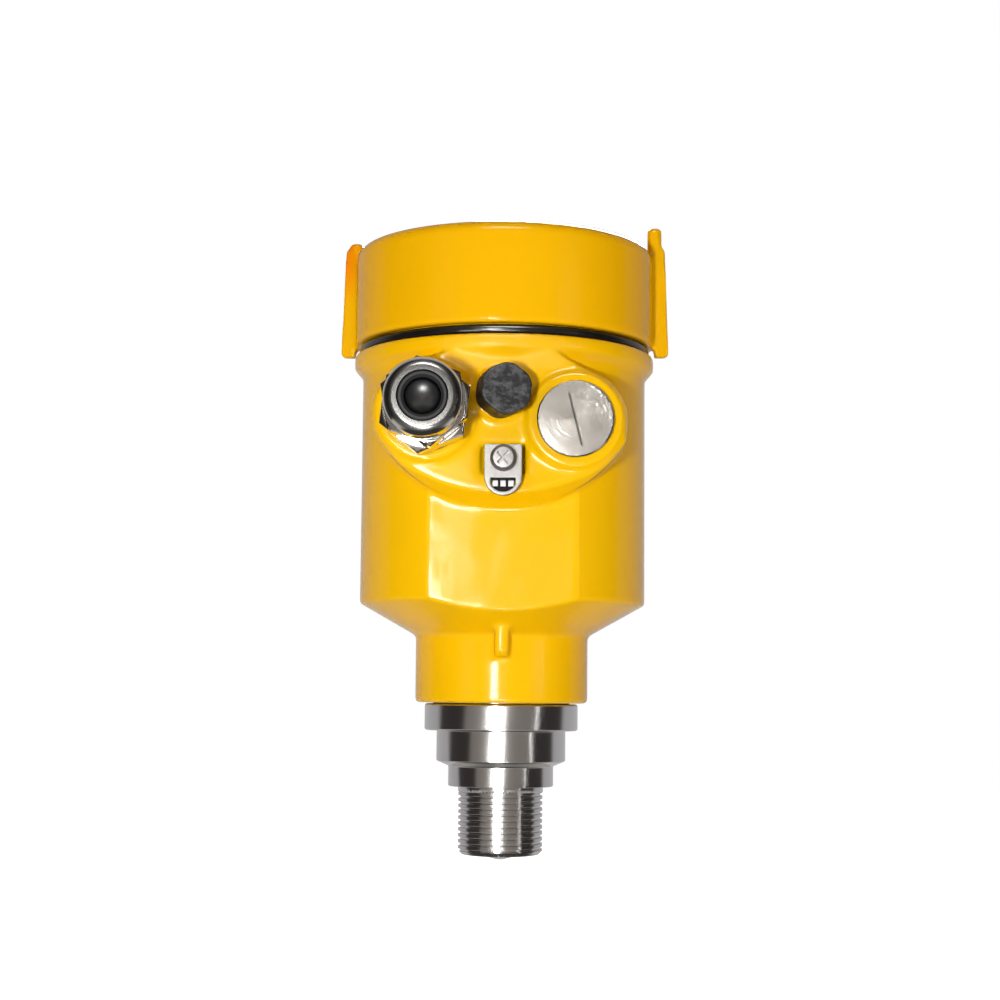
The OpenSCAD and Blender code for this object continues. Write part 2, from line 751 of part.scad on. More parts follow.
module contact_socket() {
    color(gold) translate([0, 0, cup_bottom - 2]) difference() {
        cylinder(r = 4, h = board_z - module_h + 0.9 - cup_bottom + 2);
        translate([0, 0, -1]) cylinder(r = rod_r + 0.12, h = rod_top - cup_bottom + 4);
    }
}

module terminal_block() {
    color(grey) translate([0, terminal_y, cup_top]) difference() {
        translate([-terminal_w / 2, -terminal_d / 2, 0]) cube([terminal_w, terminal_d, terminal_h]);
        for (x = terminal_x) {
            translate([x, 0, terminal_h - 4]) cylinder(r = 2.7, h = 5);
            translate([x - 2, -terminal_d / 2 - 1, 1.2]) cube([4, 6, 3]);
        }
    }
}

module terminal_screws() {
    color(steel) for (x = terminal_x) translate([x, terminal_y, cup_top + terminal_h - 4]) difference() {
        cylinder(r = 2.4, h = 2.4);
        translate([-3, -0.4, 1.5]) cube([6, 0.8, 2]);
    }
}

module contact_pins() {
    color(gold) for (x = [-4.5:3:4.5]) translate([x, -10, cup_top]) {
        cylinder(r = 0.9, h = 3);
        cylinder(r = 0.5, h = 5);
    }
}

module inner_ground_screw() {
    color(steel) translate([-20, -14, cup_top]) difference() {
        union() {
            cylinder(r = 4.2, h = 1);
            cylinder(r = 3.4, h = 3.4);
        }
        for (a = [0, 90]) rotate([0, 0, a]) translate([-2, -0.4, 2.2]) cube([4, 0.8, 3]);
    }
}

process_fitting();
neck_seals();
retaining_ring();
feed_insulator();
feed_seal();
feed_rod();
feed_nose();
housing();
lock_screw();
lid();
lid_seal();
gland_body();
gland_seal();
gland_nut();
gland_grommet();
gland_clamp_cage();
dust_plug();
vent_cap();
vent_seal();
vent_membrane();
blanking_plug();
blanking_plug_seal();
ground_clamp();
ground_jaw();
ground_washer();
ground_screw();
electronics_cup();
cup_screws();
main_board();
board_pillars();
rf_module();
contact_socket();
terminal_block();
terminal_screws();
contact_pins();
inner_ground_screw();
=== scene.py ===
# %% [markdown]
# # A radar level transmitter
#
# This notebook dresses a finished engineering model so that it looks like the real instrument.
# The instrument is a yellow die-cast head with a screw lid, a nickel cable gland, a vent, a
# blanked port and an earth clamp, and the head turns on a stepped stainless fitting. The engineering
# model already has every part at its true place and size, in metres, with the origin at the
# sealing shoulder, +Z up and the cable entries facing -Y.

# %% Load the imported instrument
import json
import math

import bpy
from mathutils import Matrix, Vector


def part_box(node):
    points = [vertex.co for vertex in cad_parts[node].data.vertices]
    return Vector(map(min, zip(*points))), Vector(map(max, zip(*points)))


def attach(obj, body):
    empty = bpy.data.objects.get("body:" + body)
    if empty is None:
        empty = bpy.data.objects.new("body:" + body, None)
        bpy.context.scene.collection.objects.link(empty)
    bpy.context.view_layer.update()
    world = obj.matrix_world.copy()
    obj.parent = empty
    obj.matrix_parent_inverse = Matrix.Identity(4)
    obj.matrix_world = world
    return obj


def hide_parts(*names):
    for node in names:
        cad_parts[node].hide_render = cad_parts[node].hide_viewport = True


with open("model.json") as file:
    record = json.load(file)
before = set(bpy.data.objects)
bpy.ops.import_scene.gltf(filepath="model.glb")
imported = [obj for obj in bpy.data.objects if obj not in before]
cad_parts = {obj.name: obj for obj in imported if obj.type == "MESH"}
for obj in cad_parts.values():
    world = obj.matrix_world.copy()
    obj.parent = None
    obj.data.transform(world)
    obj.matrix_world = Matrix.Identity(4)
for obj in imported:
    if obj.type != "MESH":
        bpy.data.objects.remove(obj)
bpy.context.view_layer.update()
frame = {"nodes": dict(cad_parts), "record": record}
nodes = frame["nodes"]
MM = 0.001

# %% [markdown]
# ## Camera
#
# A tall object that stands a little above eye level is seen from slightly below, so the camera
# is low and tilts up. One could aim it with a constraint, but a fixed matrix is easier to read:
# a turn to the side, a tilt and a tiny roll.

# %% The camera
camera = bpy.data.objects.new("camera", bpy.data.cameras.new("camera"))
bpy.context.scene.collection.objects.link(camera)
camera.data.lens = 68.65
camera.data.sensor_width = 36
camera.data.clip_start = 0.01
turn = Matrix.Rotation(math.radians(0.09), 4, "Z")
tilt = Matrix.Rotation(math.radians(90 + 5.66), 4, "X")
roll = Matrix.Rotation(math.radians(0.5), 4, "Z")
camera.matrix_world = Matrix.Translation((0, -0.600, 0.030)) @ turn @ tilt @ roll
bpy.context.scene.camera = camera
bpy.context.scene.view_settings.view_transform = "Standard"

# %% [markdown]
# ## Shader sums
#
# A material is a graph of small nodes, and wiring a graph by hand hides what it computes. Here a
# small class wraps a socket, so that a sum such as `1 - mask * 0.5` adds its Math nodes by
# itself. Anything that isn't a sum comes from one method, `node`.


# %% Sockets as numbers
class Wire:
    """A node's output that can be used in Python sums."""

    def __init__(self, graph, socket):
        self.graph, self.socket = graph, socket

    def math(self, operation, *others):
        return self.graph.node("ShaderNodeMath", {"operation": operation}, [self, *others])

    def __add__(self, other): return self.math("ADD", other)
    def __sub__(self, other): return self.math("SUBTRACT", other)
    def __mul__(self, other): return self.math("MULTIPLY", other)
    def __truediv__(self, other): return self.math("DIVIDE", other)
    __radd__ = __add__
    __rmul__ = __mul__

    def __rsub__(self, other):
        return self.graph.node("ShaderNodeMath", {"operation": "SUBTRACT"}, [other, self])

    def clamp(self):
        return self.graph.node("ShaderNodeClamp", {}, [self, 0, 1])


class Graph:
    """The node graph of a material or of the world."""

    def __init__(self, tree):
        self.tree = tree
        tree.nodes.clear()

    def node(self, kind, settings=None, inputs=(), out=0):
        """Add a node: its settings first, then the values or links of its sockets."""
        made = self.tree.nodes.new(kind)
        for key, value in (settings or {}).items():
            if key == "stops":
                ramp = made.color_ramp.elements
                while len(ramp) < len(value):
                    ramp.new(0.5)
                for element, (place, colour) in zip(ramp, value):
                    element.position = place
                    element.color = (*colour, 1) if len(colour) == 3 else colour
            else:
                setattr(made, key, value)
        pairs = inputs.items() if isinstance(inputs, dict) else enumerate(inputs)
        for key, value in pairs:
            if isinstance(value, Wire):
                self.tree.links.new(value.socket, made.inputs[key])
            elif value is not None:
                made.inputs[key].default_value = value
        return Wire(self, made.outputs[out]) if made.outputs else made

    def place(self):
        """Where a point of the piece is, in metres."""
        return self.node("ShaderNodeTexCoord", {}, [], "Object")

    def xyz(self, vector):
        """A vector's three numbers, one wire each."""
        split = self.node("ShaderNodeSeparateXYZ", {}, [vector])
        return [Wire(self, split.socket.node.outputs[i]) for i in range(3)]

    def stretched(self, scale, turn=(0, 0, 0)):
        """The place with each direction stretched by its own factor."""
        return self.node("ShaderNodeMapping", {},
                         {"Vector": self.place(), "Scale": scale, "Rotation": turn})

    def noise(self, vector, scale, detail=3, rough=0.5):
        """Cloudy noise between 0 and 1, with about scale clouds to a metre."""
        return self.node("ShaderNodeTexNoise", {}, {"Vector": vector, "Scale": scale,
                                                    "Detail": detail, "Roughness": rough})

    def ramp(self, value, low, high):
        """0 below low, 1 above high and smooth between."""
        return self.node("ShaderNodeMapRange", {"interpolation_type": "SMOOTHSTEP"},
                         [value, low, high, 0, 1])

    def below(self, value, low, high):
        """1 below low, 0 above high and smooth between."""
        return self.ramp(value * -1, -high, -low)

    def mix(self, factor, first, second):
        """The first colour where factor is 0, the second where it is 1."""
        return self.node("ShaderNodeMix", {"data_type": "RGBA"},
                         {0: factor, 6: (*first, 1) if isinstance(first, tuple) else first,
                          7: (*second, 1) if isinstance(second, tuple) else second}, 2)

    def bump(self, height, strength, distance):
        """A surface that rises by distance where height is 1."""
        return self.node("ShaderNodeBump", {},
                         {"Height": height, "Strength": strength, "Distance": distance})


def finish_material(name, build):
    """Make a material whose Principled sockets are what build(graph) returns."""
    material = bpy.data.materials.new(name)
    material.use_nodes = True
    graph = Graph(material.node_tree)
    shader = graph.node("ShaderNodeBsdfPrincipled", {}, build(graph), "BSDF")
    graph.node("ShaderNodeOutputMaterial", {}, {"Surface": shader})
    return material


# %% [markdown]
# ## Light
#
# The instrument is lit as in a small studio. Polished metal shows whatever surrounds it, so the
# surroundings come first: pale behind the instrument, dark at its sides and grey behind the
# camera. One could build cards for that; a world whose brightness depends on the direction does
# the same and is never in the way of another view. Matt surfaces get a weak warm light instead,
# which stands for what the yellow walls throw back on each other.

# %% The world
# from straight behind the instrument, at 0, to straight in front of it, at 1
WALLS = [(0.00, (0.56, 0.56, 0.58)), (0.34, (0.48, 0.48, 0.50)),
         (0.41, (0.05, 0.045, 0.045)), (0.76, (0.03, 0.027, 0.026)),
         (0.80, (0.24, 0.22, 0.20)), (1.00, (0.23, 0.21, 0.19))]
WARM, WHITE = (0.165, 0.105, 0.075), (1, 1, 1)


def walls(graph, east, north):
    """What polished metal sees in a level direction."""
    reach = (east * east + north * north + 0.0001).math("SQRT")
    frontness = north * -1 / reach
    return graph.node("ShaderNodeValToRGB", {"stops": WALLS}, [frontness * 0.5 + 0.5])


world = bpy.data.worlds.new("studio")
bpy.context.scene.world = world
world.use_nodes = True
sky = Graph(world.node_tree)
rays = sky.node("ShaderNodeLightPath").socket.node
east, north, _ = sky.xyz(sky.node("ShaderNodeTexCoord", {}, [], "Generated"))
glossy = Wire(sky, rays.outputs["Is Glossy Ray"])
seen = Wire(sky, rays.outputs["Is Camera Ray"])
surroundings = sky.mix(glossy, WARM, walls(sky, east, north))
colour = sky.mix(seen, surroundings, WHITE)
backdrop = sky.node("ShaderNodeBackground", {}, {"Color": colour, "Strength": 1.0})
sky.node("ShaderNodeOutputWorld", {}, {"Surface": backdrop})
print("world nodes:", len(world.node_tree.nodes))

# %% [markdown]
# A lamp may light matt surfaces, show as a reflection in shiny ones, or do both. Mostly the two
# jobs are apart here, because a lamp small enough for clear shadows makes too small a highlight.
# The key, low at the left, casts the shadows and the two fills lift them. Tall lamps make the
# upright streaks on enamel and steel, the overhead and the low one light rims and shoulders, and
# one behind lights the back and the lid's top, which the main camera can't see.


# %% Lamps
def softbox(name, place, aim, width, height, watts, matt=True, shiny=True):
    """A soft rectangular lamp that lights matt surfaces, shows in shiny ones, or both."""
    data = bpy.data.lights.new(name, "AREA")
    data.shape, data.size, data.size_y, data.energy = "RECTANGLE", width, height, watts
    lamp = bpy.data.objects.new(name, data)
    lamp.location = place
    lamp.rotation_euler = (Vector(aim) - Vector(place)).to_track_quat("-Z", "Y").to_euler()
    lamp.visible_camera = False
    lamp.visible_diffuse = matt
    lamp.visible_glossy = shiny
    bpy.context.scene.collection.objects.link(lamp)
    return lamp


softbox("key_left", (-0.13, -0.60, 0.02), (0, 0, 0.08), 0.035, 0.045, 2.36, shiny=False)
streak_left = softbox("streak_left", (-0.10, -0.62, -0.01), (0, 0, 0.07), 0.09, 0.24, 3.9, matt=False)
softbox("streak_middle", (0.052, -0.62, 0.00), (0, 0, 0.02), 0.02, 0.24, 0.05)
softbox("streak_right", (0.485, -0.353, 0.03), (0, 0, 0.03), 0.006, 0.34, 0.07)
softbox("beside_camera", (-0.048, -0.61, 0.125), (0, 0, 0.07), 0.045, 0.08, 0.11)
softbox("overhead", (0.0, -0.42, 0.52), (0, 0, 0.1), 0.24, 0.16, 3.2, matt=False)
softbox("fill_right", (0.40, -0.36, 0.12), (0, 0, 0.08), 0.15, 0.25, 0.57, shiny=False)
softbox("fill_left", (-0.38, -0.38, 0.12), (0, 0, 0.08), 0.15, 0.25, 0.33, shiny=False)
low_front = softbox("low_front", (-0.02, -0.50, -0.27), (0, 0, 0.07), 0.16, 0.03, 1.6, matt=False)
softbox("behind", (0.06, 0.50, 0.38), (0, 0, 0.1), 0.16, 0.12, 3.6)
print("lamps:", len(bpy.data.lights))

# %% [markdown]
# The floor is white and lies well below, because the instrument is held by its thread in a
# vessel and doesn't stand on anything. Seen directly it shows its own white. In polished metal it
# is a pale ring round a dark spot, which gives the thread and the nut their dark lines, and
# farther out it takes the walls' colours, so that no horizon shows.

# %% The floor
RING = [(0.30, (0.05, 0.05, 0.05)), (0.42, (0.60, 0.59, 0.57)),
        (0.70, (0.60, 0.59, 0.57)), (0.85, (0, 0, 0))]
bpy.ops.mesh.primitive_plane_add(size=12, location=(0, 0, -0.32))
floor = bpy.context.object
floor.name = "floor"
floor_white = bpy.data.materials.new("floor_white")
floor_white.use_nodes = True
ground = Graph(floor_white.node_tree)
rays = ground.node("ShaderNodeLightPath").socket.node
east, north, _ = ground.xyz(ground.place())
paint = ground.node("ShaderNodeBsdfDiffuse", {}, {"Color": (0.8, 0.8, 0.8, 1)})
seen = Wire(ground, rays.outputs["Is Camera Ray"])
glow = ground.node("ShaderNodeEmission", {}, {"Strength": seen * 1.5})
lit = ground.node("ShaderNodeAddShader", {}, [paint, glow])
reach = (east * east + north * north).math("SQRT")
ring = ground.node("ShaderNodeValToRGB", {"stops": RING}, [reach])
far = ground.ramp(reach, 0.7, 0.85)
mirrored = ground.node("ShaderNodeEmission", {},
                       {"Color": ground.mix(far, ring, walls(ground, east, north))})
glossy = Wire(ground, rays.outputs["Is Glossy Ray"])
shown = ground.node("ShaderNodeMixShader", {}, [glossy, lit, mirrored])
ground.node("ShaderNodeOutputMaterial", {}, {"Surface": shown})
floor.data.materials.append(floor_white)
print("floor at", floor.location.z)

# %% [markdown]
# ## Finishes
#
# The head is powder coated: an even glossy yellow with the faint ripple of a baked coat. The coat
# sags a little over the wide flat facets and it is duller under the collar where a rag can't
# reach. The lid's left lug and the far left of its rim are coloured deep orange, which is painted
# shade. One could paint these on a map; soft steps along the three directions find the same
# places and need no unwrapping.


# %% Yellow enamel
def enamel(graph, ior, first, second):
    spot = graph.place()
    tone = graph.noise(spot, 30, 2)
    ripple = graph.noise(spot, 420, 2, 0.4)
    sag = graph.noise(spot, 130, 2, 0.5)
    dimples = graph.noise(spot, 85, 1, 0.4)
    across, depth, height = graph.xyz(spot)
    facets = graph.below(depth, -38.5 * MM, -38.0 * MM) * graph.below(height, 86 * MM, 92 * MM)
    under_collar = (graph.ramp(height, 122 * MM, 126 * MM)
                    * graph.below(height, 133.5 * MM, 134.5 * MM)
                    * graph.below(across.math("ABSOLUTE"), 16 * MM, 20 * MM))
    # Painted shade: the left lug and the lid's far left edge turn deep orange.
    painted_lug_shade = graph.below(across, -50 * MM, -45 * MM) * graph.ramp(height, 150 * MM, 166 * MM)
    coat = graph.mix(tone, first, second)
    waves = sag * 5 + ripple + facets * dimples * 22
    # The base colour carries the painted shade on the left lug.
    return {"Base Color": graph.mix(painted_lug_shade * 0.75, coat, (0.93, 0.21, 0.001)),
            "Roughness": 0.11 + tone * 0.07 + under_collar * 0.25, "IOR": ior,
            "Normal": graph.bump(waves, 0.16, 0.08 * MM)}


yellow_enamel = finish_material("yellow_enamel", lambda graph: enamel(
    graph, 1.3, (0.90, 0.505, 0.0012), (0.93, 0.54, 0.0015)))
lid_enamel = finish_material("lid_enamel", lambda graph: enamel(
    graph, 1.2, (0.87, 0.455, 0.0012), (0.90, 0.49, 0.0015)))
print("enamels:", yellow_enamel.name, lid_enamel.name)

# %% [markdown]
# The fitting is turned from stainless bar. A lathe tool leaves hair-fine rings, so its bump runs
# round the axis: the pattern is stretched wide in X and Y and squeezed along Z.


# %% Turned stainless steel
def turned(graph):
    rings = graph.noise(graph.stretched((8, 8, 5200)), 1, 4, 0.6)
    smudge = graph.noise(graph.place(), 60, 2)
    return {"Base Color": graph.mix(smudge, (0.58, 0.56, 0.54), (0.68, 0.665, 0.65)),
            "Metallic": 1.0, "Roughness": 0.13 + rings * 0.10,
            "Normal": graph.bump(rings, 0.3, 0.02 * MM)}


stainless_turned = finish_material("stainless_turned", turned)

# %% [markdown]
# The blanking plug is faced on a lathe, so its rings run round the plug's own axis. They come
# from noise along the distance to that axis. The face is smudged by hands and its upper right is
# speckled. The steel inside the coin slot is coloured nearly black, which is painted shade.


# %% The blanking plug's faced steel
def faced(graph):
    low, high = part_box("blanking_plug")
    spot = graph.place()
    across, depth, height = graph.xyz(spot)
    x, z = across - (low[0] + high[0]) / 2, height - (low[2] + high[2]) / 2
    radius = (x * x + z * z).math("SQRT")
    along_radius = graph.node("ShaderNodeCombineXYZ", {}, [radius * 5200, 0.0, 0.0])
    rings = graph.noise(along_radius, 1, 2, 0.6)
    smudge = graph.noise(spot, 160, 3)
    corner = graph.ramp(x + z, 6 * MM, 13 * MM)
    specks = graph.ramp(graph.noise(spot, 800, 4, 0.7), 0.58, 0.64) * corner
    worn = graph.mix(smudge, (0.52, 0.48, 0.43), (0.68, 0.65, 0.61))
    face = graph.mix(specks, worn, (0.80, 0.79, 0.77))
    # Painted shade: the steel deep in the coin slot is coloured nearly black.
    slot = graph.ramp(depth, low[1] + 0.5 * MM, low[1] + 0.9 * MM)
    return {"Base Color": graph.mix(slot * 0.75, face, (0.06, 0.05, 0.045)), "Metallic": 1.0,
            "Roughness": 0.17 + smudge * 0.08 + specks * 0.2,
            "Normal": graph.bump(rings, 0.7, 0.03 * MM)}


stainless_plug = finish_material("stainless_plug", faced)

# %% [markdown]
# Pressed and cast small parts are tumbled after the press, which leaves a matt grain. The jaw
# plate under the earth clamp is the same steel. It is coloured black except for its bright teeth,
# which is painted shade where the plate lies back behind the clamp.


# %% Pressed steel and the clamp's jaw
def pressed(graph):
    grain = graph.noise(graph.place(), 1100, 3)
    return {"Base Color": graph.mix(grain, (0.17, 0.16, 0.15), (0.30, 0.29, 0.28)),
            "Metallic": 1.0, "Roughness": 0.42 + grain * 0.12,
            "Normal": graph.bump(grain, 0.6, 0.02 * MM)}


def jaw(graph):
    """Bright teeth on a plate coloured black as painted shade."""
    low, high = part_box("ground_clamp")
    grain = graph.noise(graph.place(), 1100, 3)
    _, depth, height = graph.xyz(graph.place())
    # Painted shade: the plate is coloured black where it lies back between the teeth and higher up.
    behind = graph.ramp(depth, high[1] + 0.1 * MM, high[1] + 0.4 * MM)
    above = graph.ramp(height, low[2] + 4.3 * MM, low[2] + 4.7 * MM)
    tooth = graph.mix(grain, (0.24, 0.235, 0.23), (0.40, 0.39, 0.38))
    painted_plate_shade = (behind + above).clamp()
    return {"Base Color": graph.mix(painted_plate_shade, tooth, (0.003, 0.002, 0.002)),
            "Metallic": 1 - painted_plate_shade, "IOR": 1.2, "Roughness": 0.42 + grain * 0.1,
            "Normal": graph.bump(grain, 0.3, 0.02 * MM)}


stainless_small = finish_material("stainless_small", pressed)
jaw_steel = finish_material("jaw_steel", jaw)

# %% [markdown]
# The gland is brass with bright nickel on it. Nickel mirrors everything, so it has little
# roughness and hardly any bump. Only the flat rim of the cap nut is satin, from wear.


# %% Nickel plate
def nickel(graph):
    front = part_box("gland_nut")[0][1]
    spots = graph.noise(graph.place(), 240, 3)
    _, depth, _ = graph.xyz(graph.place())
    satin = graph.below(depth, front + 0.6 * MM, front + 1.4 * MM)
    plate = graph.mix(spots, (0.60, 0.565, 0.51), (0.72, 0.70, 0.66))
    return {"Base Color": graph.mix(satin * 0.9, plate, (0.10, 0.098, 0.095)), "Metallic": 1.0,
            "Roughness": 0.06 + spots * 0.08 + satin * 0.16,
            "Normal": graph.bump(spots, 0.12, 0.03 * MM)}


nickel_plate = finish_material("nickel_plate", nickel)

# %% [markdown]
# The vent cap is black nylon. Its outer face is greyed and scratched by wear. Its flanks are
# coloured a deeper black than the nylon of the face, which is painted shade. The face is found
# by how far a point lies out along the cap's own lean, since the cap doesn't face straight forward.


# %% Moulded nylon
VENT_LEAN = math.radians(12)
VENT_SEAT = (-1.5 * MM, -44.8 * MM)


def nylon(graph):
    spot = graph.place()
    mottle = graph.noise(spot, 330, 5, 0.7)
    scratches = graph.noise(graph.stretched((420, 420, 950), (0, 0.9, 0.3)), 1, 4, 0.6)
    worn = (graph.ramp(mottle, 0.42, 0.62) * 0.7 + graph.ramp(scratches, 0.52, 0.66) * 0.6).clamp()
    across, depth, _ = graph.xyz(spot)
    out = ((across - VENT_SEAT[0]) * math.sin(VENT_LEAN)
           - (depth - VENT_SEAT[1]) * math.cos(VENT_LEAN))
    face = graph.ramp(out, 11.0 * MM, 11.6 * MM)
    greyed = graph.mix(worn, (0.018, 0.018, 0.019), (0.085, 0.086, 0.090))
    # Painted shade: the flanks get a deeper black than the face's unworn nylon.
    return {"Base Color": graph.mix(face, (0.004, 0.004, 0.004), greyed), "IOR": 1.35,
            "Roughness": 0.40 + worn * 0.2, "Normal": graph.bump(mottle, 0.8, 0.15 * MM)}


moulded_nylon = finish_material("moulded_nylon", nylon)

# %% [markdown]
# The other rubbers and plastics differ only in colour, gloss and grain, so one function makes
# them all, and a second one makes the two inner metals.


# %% Rubber, plastics and the inner materials
def plain(name, first, second, rough, ior=1.5):
    def build(graph):
        mottle = graph.noise(graph.place(), 500, 3)
        return {"Base Color": graph.mix(mottle, first, second), "IOR": ior,
                "Roughness": rough + mottle * 0.08,
                "Normal": graph.bump(mottle, 0.2, 0.03 * MM)}
    return finish_material(name, build)


def plain_metal(name, first, second, rough):
    def build(graph):
        mottle = graph.noise(graph.place(), 300, 3)
        return {"Base Color": graph.mix(mottle, first, second), "Metallic": 1.0,
                "Roughness": rough + mottle * 0.08,
                "Normal": graph.bump(mottle, 0.2, 0.02 * MM)}
    return finish_material(name, build)


finishes = {
    "yellow_enamel": yellow_enamel, "stainless_turned": stainless_turned,
    "stainless_plug": stainless_plug, "stainless_small": stainless_small,
    "nickel_plate": nickel_plate, "black_nylon": moulded_nylon,
    "seal_rubber": plain("seal_rubber", (0.004, 0.004, 0.0045), (0.008, 0.0075, 0.008), 0.2),
    "grommet_rubber": plain("grommet_rubber", (0.012, 0.012, 0.013), (0.020, 0.020, 0.021), 0.5, 1.35),
    "plug_rubber": plain("plug_rubber", (0.008, 0.008, 0.008), (0.012, 0.012, 0.013), 0.36, 2.0),
    "grey_nylon": plain("grey_nylon", (0.22, 0.23, 0.25), (0.27, 0.28, 0.30), 0.4),
    "white_ptfe": plain("white_ptfe", (0.82, 0.82, 0.80), (0.90, 0.90, 0.88), 0.4),
    "board_green": plain("board_green", (0.02, 0.12, 0.045), (0.035, 0.18, 0.07), 0.25),
    "contact_brass": plain_metal("contact_brass", (0.80, 0.56, 0.22), (0.86, 0.62, 0.28), 0.2),
    "tin_can": plain_metal("tin_can", (0.62, 0.62, 0.62), (0.72, 0.72, 0.72), 0.3)}
print("finishes:", len(finishes))

# %% [markdown]
# Each part of the engineering model names its finish and the moving body that carries it, so the
# model can be coloured as it stands before any part is replaced.

# %% Colour the engineering model
slot_of = {piece["node"]: piece["material_slot"] for piece in frame["record"]["subparts"]}
body_of = {node: body for body, group in frame["record"]["behaviour"]["bodies"].items()
           for node in group}
for name, node in nodes.items():
    node.data.materials.clear()
    node.data.materials.append(finishes[slot_of[name]])
print("coloured:", len(nodes))

# %% [markdown]
# ## Working by hand
#
# The next helpers do what a person does in the window: clear the selection, copy a part, work in
# edit mode and apply a modifier. Parts of the engineering model stay untouched. A copy has its
# double points merged first, because the engineering mesh is loose triangles.


# %% Helpers for modelling
def only(thing):
    """Select one thing and make it the active one."""
    bpy.ops.object.select_all(action="DESELECT")
    thing.select_set(True)
    bpy.context.view_layer.objects.active = thing
    return thing


def merged_copy(node, name):
    """A free copy of a part of the engineering model, as one joined skin."""
    only(nodes[node])
    bpy.ops.object.duplicate()
    copy = only(bpy.context.object)
    copy.parent = None
    copy.name = copy.data.name = name
    for key in [key for key in copy.keys() if key.startswith("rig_")]:
        del copy[key]
    bpy.ops.object.mode_set(mode="EDIT")
    bpy.ops.mesh.select_all(action="SELECT")
    bpy.ops.mesh.remove_doubles(threshold=0.002 * MM)
    bpy.ops.object.mode_set(mode="OBJECT")
    return copy


def modify(thing, kind, **settings):
    """Add a modifier and apply it."""
    only(thing)
    modifier = thing.modifiers.new(kind.lower(), kind)
    for key, value in settings.items():
        setattr(modifier, key, value)
    bpy.ops.object.modifier_apply(modifier=modifier.name)


def smooth(thing, degrees):
    """Shade smoothly across edges that turn less than so many degrees."""
    only(thing)
    bpy.ops.object.shade_smooth_by_angle(angle=math.radians(degrees))


def dress(thing, finish, body, *replaced):
    """Give a finished piece its look and the body it moves with."""
    thing.data.materials.clear()
    thing.data.materials.append(finishes[finish])
    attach(thing, body)
    if replaced:
        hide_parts(*replaced)
    print(thing.name, "triangles:", sum(len(p.vertices) - 2 for p in thing.data.polygons))
    return thing


# %% [markdown]
# ## The cast head
#
# A die casting has no sharp edge anywhere: every corner has a small radius outside and a fillet
# inside. A bevel on a mesh with so many crossing curves would tear, so the casting is rebuilt as
# a fine even skin, which a few passes of smoothing then round inside and out.


# %% A cast skin
def cast(skin, voxel, passes, share):
    """Rebuild as an even skin, round it, and keep only a share of its triangles."""
    modify(skin, "REMESH", mode="VOXEL", voxel_size=voxel)
    modify(skin, "SMOOTH", factor=0.5, iterations=passes)
    modify(skin, "DECIMATE", ratio=share)
    only(skin)
    bpy.ops.object.shade_smooth()
    return skin


# %% [markdown]
# An operator acts on whatever is selected, so a helper selects the corners that lie where a
# condition says. Here it takes the spigot that carries the lid: its wall moves in by the depth
# of the thread, and the thread itself is added near the end.


# %% Housing and lid
def pick(thing, wanted):
    """Leave selected, in edit mode, the corners for which wanted(place) is true."""
    only(thing)
    bpy.ops.object.mode_set(mode="EDIT")
    bpy.ops.mesh.select_mode(type="VERT")
    bpy.ops.mesh.select_all(action="DESELECT")
    bpy.ops.object.mode_set(mode="OBJECT")
    for corner in thing.data.vertices:
        corner.select = wanted(corner.co)
    bpy.ops.object.mode_set(mode="EDIT")


SPIGOT_R, SPIGOT_FOOT, THREAD_DEPTH = 42.6 * MM, 134 * MM, 0.9 * MM
housing_skin = merged_copy("housing", "cast_housing")
pick(housing_skin, lambda co: co.z > SPIGOT_FOOT
     and abs(Vector((co.x, co.y)).length - SPIGOT_R) < 0.1 * MM)
drawn_in = 1 - THREAD_DEPTH / SPIGOT_R
bpy.ops.transform.resize(value=(drawn_in, drawn_in, 1), center_override=(0, 0, 0))
bpy.ops.object.mode_set(mode="OBJECT")
cast(housing_skin, 0.75 * MM, 5, 0.56)
dress(housing_skin, "yellow_enamel", "head", "housing")
lid_skin = cast(merged_copy("lid", "cast_lid"), 0.7 * MM, 4, 0.75)
dress(lid_skin, "yellow_enamel", "lid", "lid")
lid_skin.data.materials[0] = lid_enamel

# %% [markdown]
# ## Turned, moulded and pressed pieces
#
# A sharp edge never catches the light, and no real edge is sharp. Where a piece already has its
# full shape, one fine bevel on its edges is enough. The weighted normals keep its flat faces
# flat, so that the light only turns over the bevel.


# %% Bevelled copies
def bevel(piece, width, sharp):
    """Round every edge that turns by more than sharp degrees."""
    modify(piece, "BEVEL", width=width, segments=2, limit_method="ANGLE",
           angle_limit=math.radians(sharp))


def even_faces(piece, degrees=40):
    """Smooth shading that keeps flat faces flat."""
    smooth(piece, degrees)
    modify(piece, "WEIGHTED_NORMAL", keep_sharp=True, weight=80)


def eased(node, width):
    """A part of the engineering model with its edges broken."""
    piece = merged_copy(node, node + "_eased")
    bevel(piece, width, 30)
    even_faces(piece)
    return dress(piece, slot_of[node], body_of[node], node)


eased("gland_body", 0.25 * MM)

# %% [markdown]
# The cap nut of the gland ends in a flat rim with a full round shoulder behind it. Each ring of
# the shoulder is selected in turn and scaled about the nut's axis, faster near the rim than
# farther back, which makes it round. The circle where shoulder and rim meet gets its own bevel,
# and the fine bevel on all other edges comes after it.


# %% The cap nut
def flat_radius(co, centre):
    """The distance to an axis that runs along Y."""
    return math.hypot(co.x - centre[0], co.z - centre[1])


def middle(node):
    """The X and Z of a node's middle."""
    low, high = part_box(node)
    return (low[0] + high[0]) / 2, (low[2] + high[2]) / 2


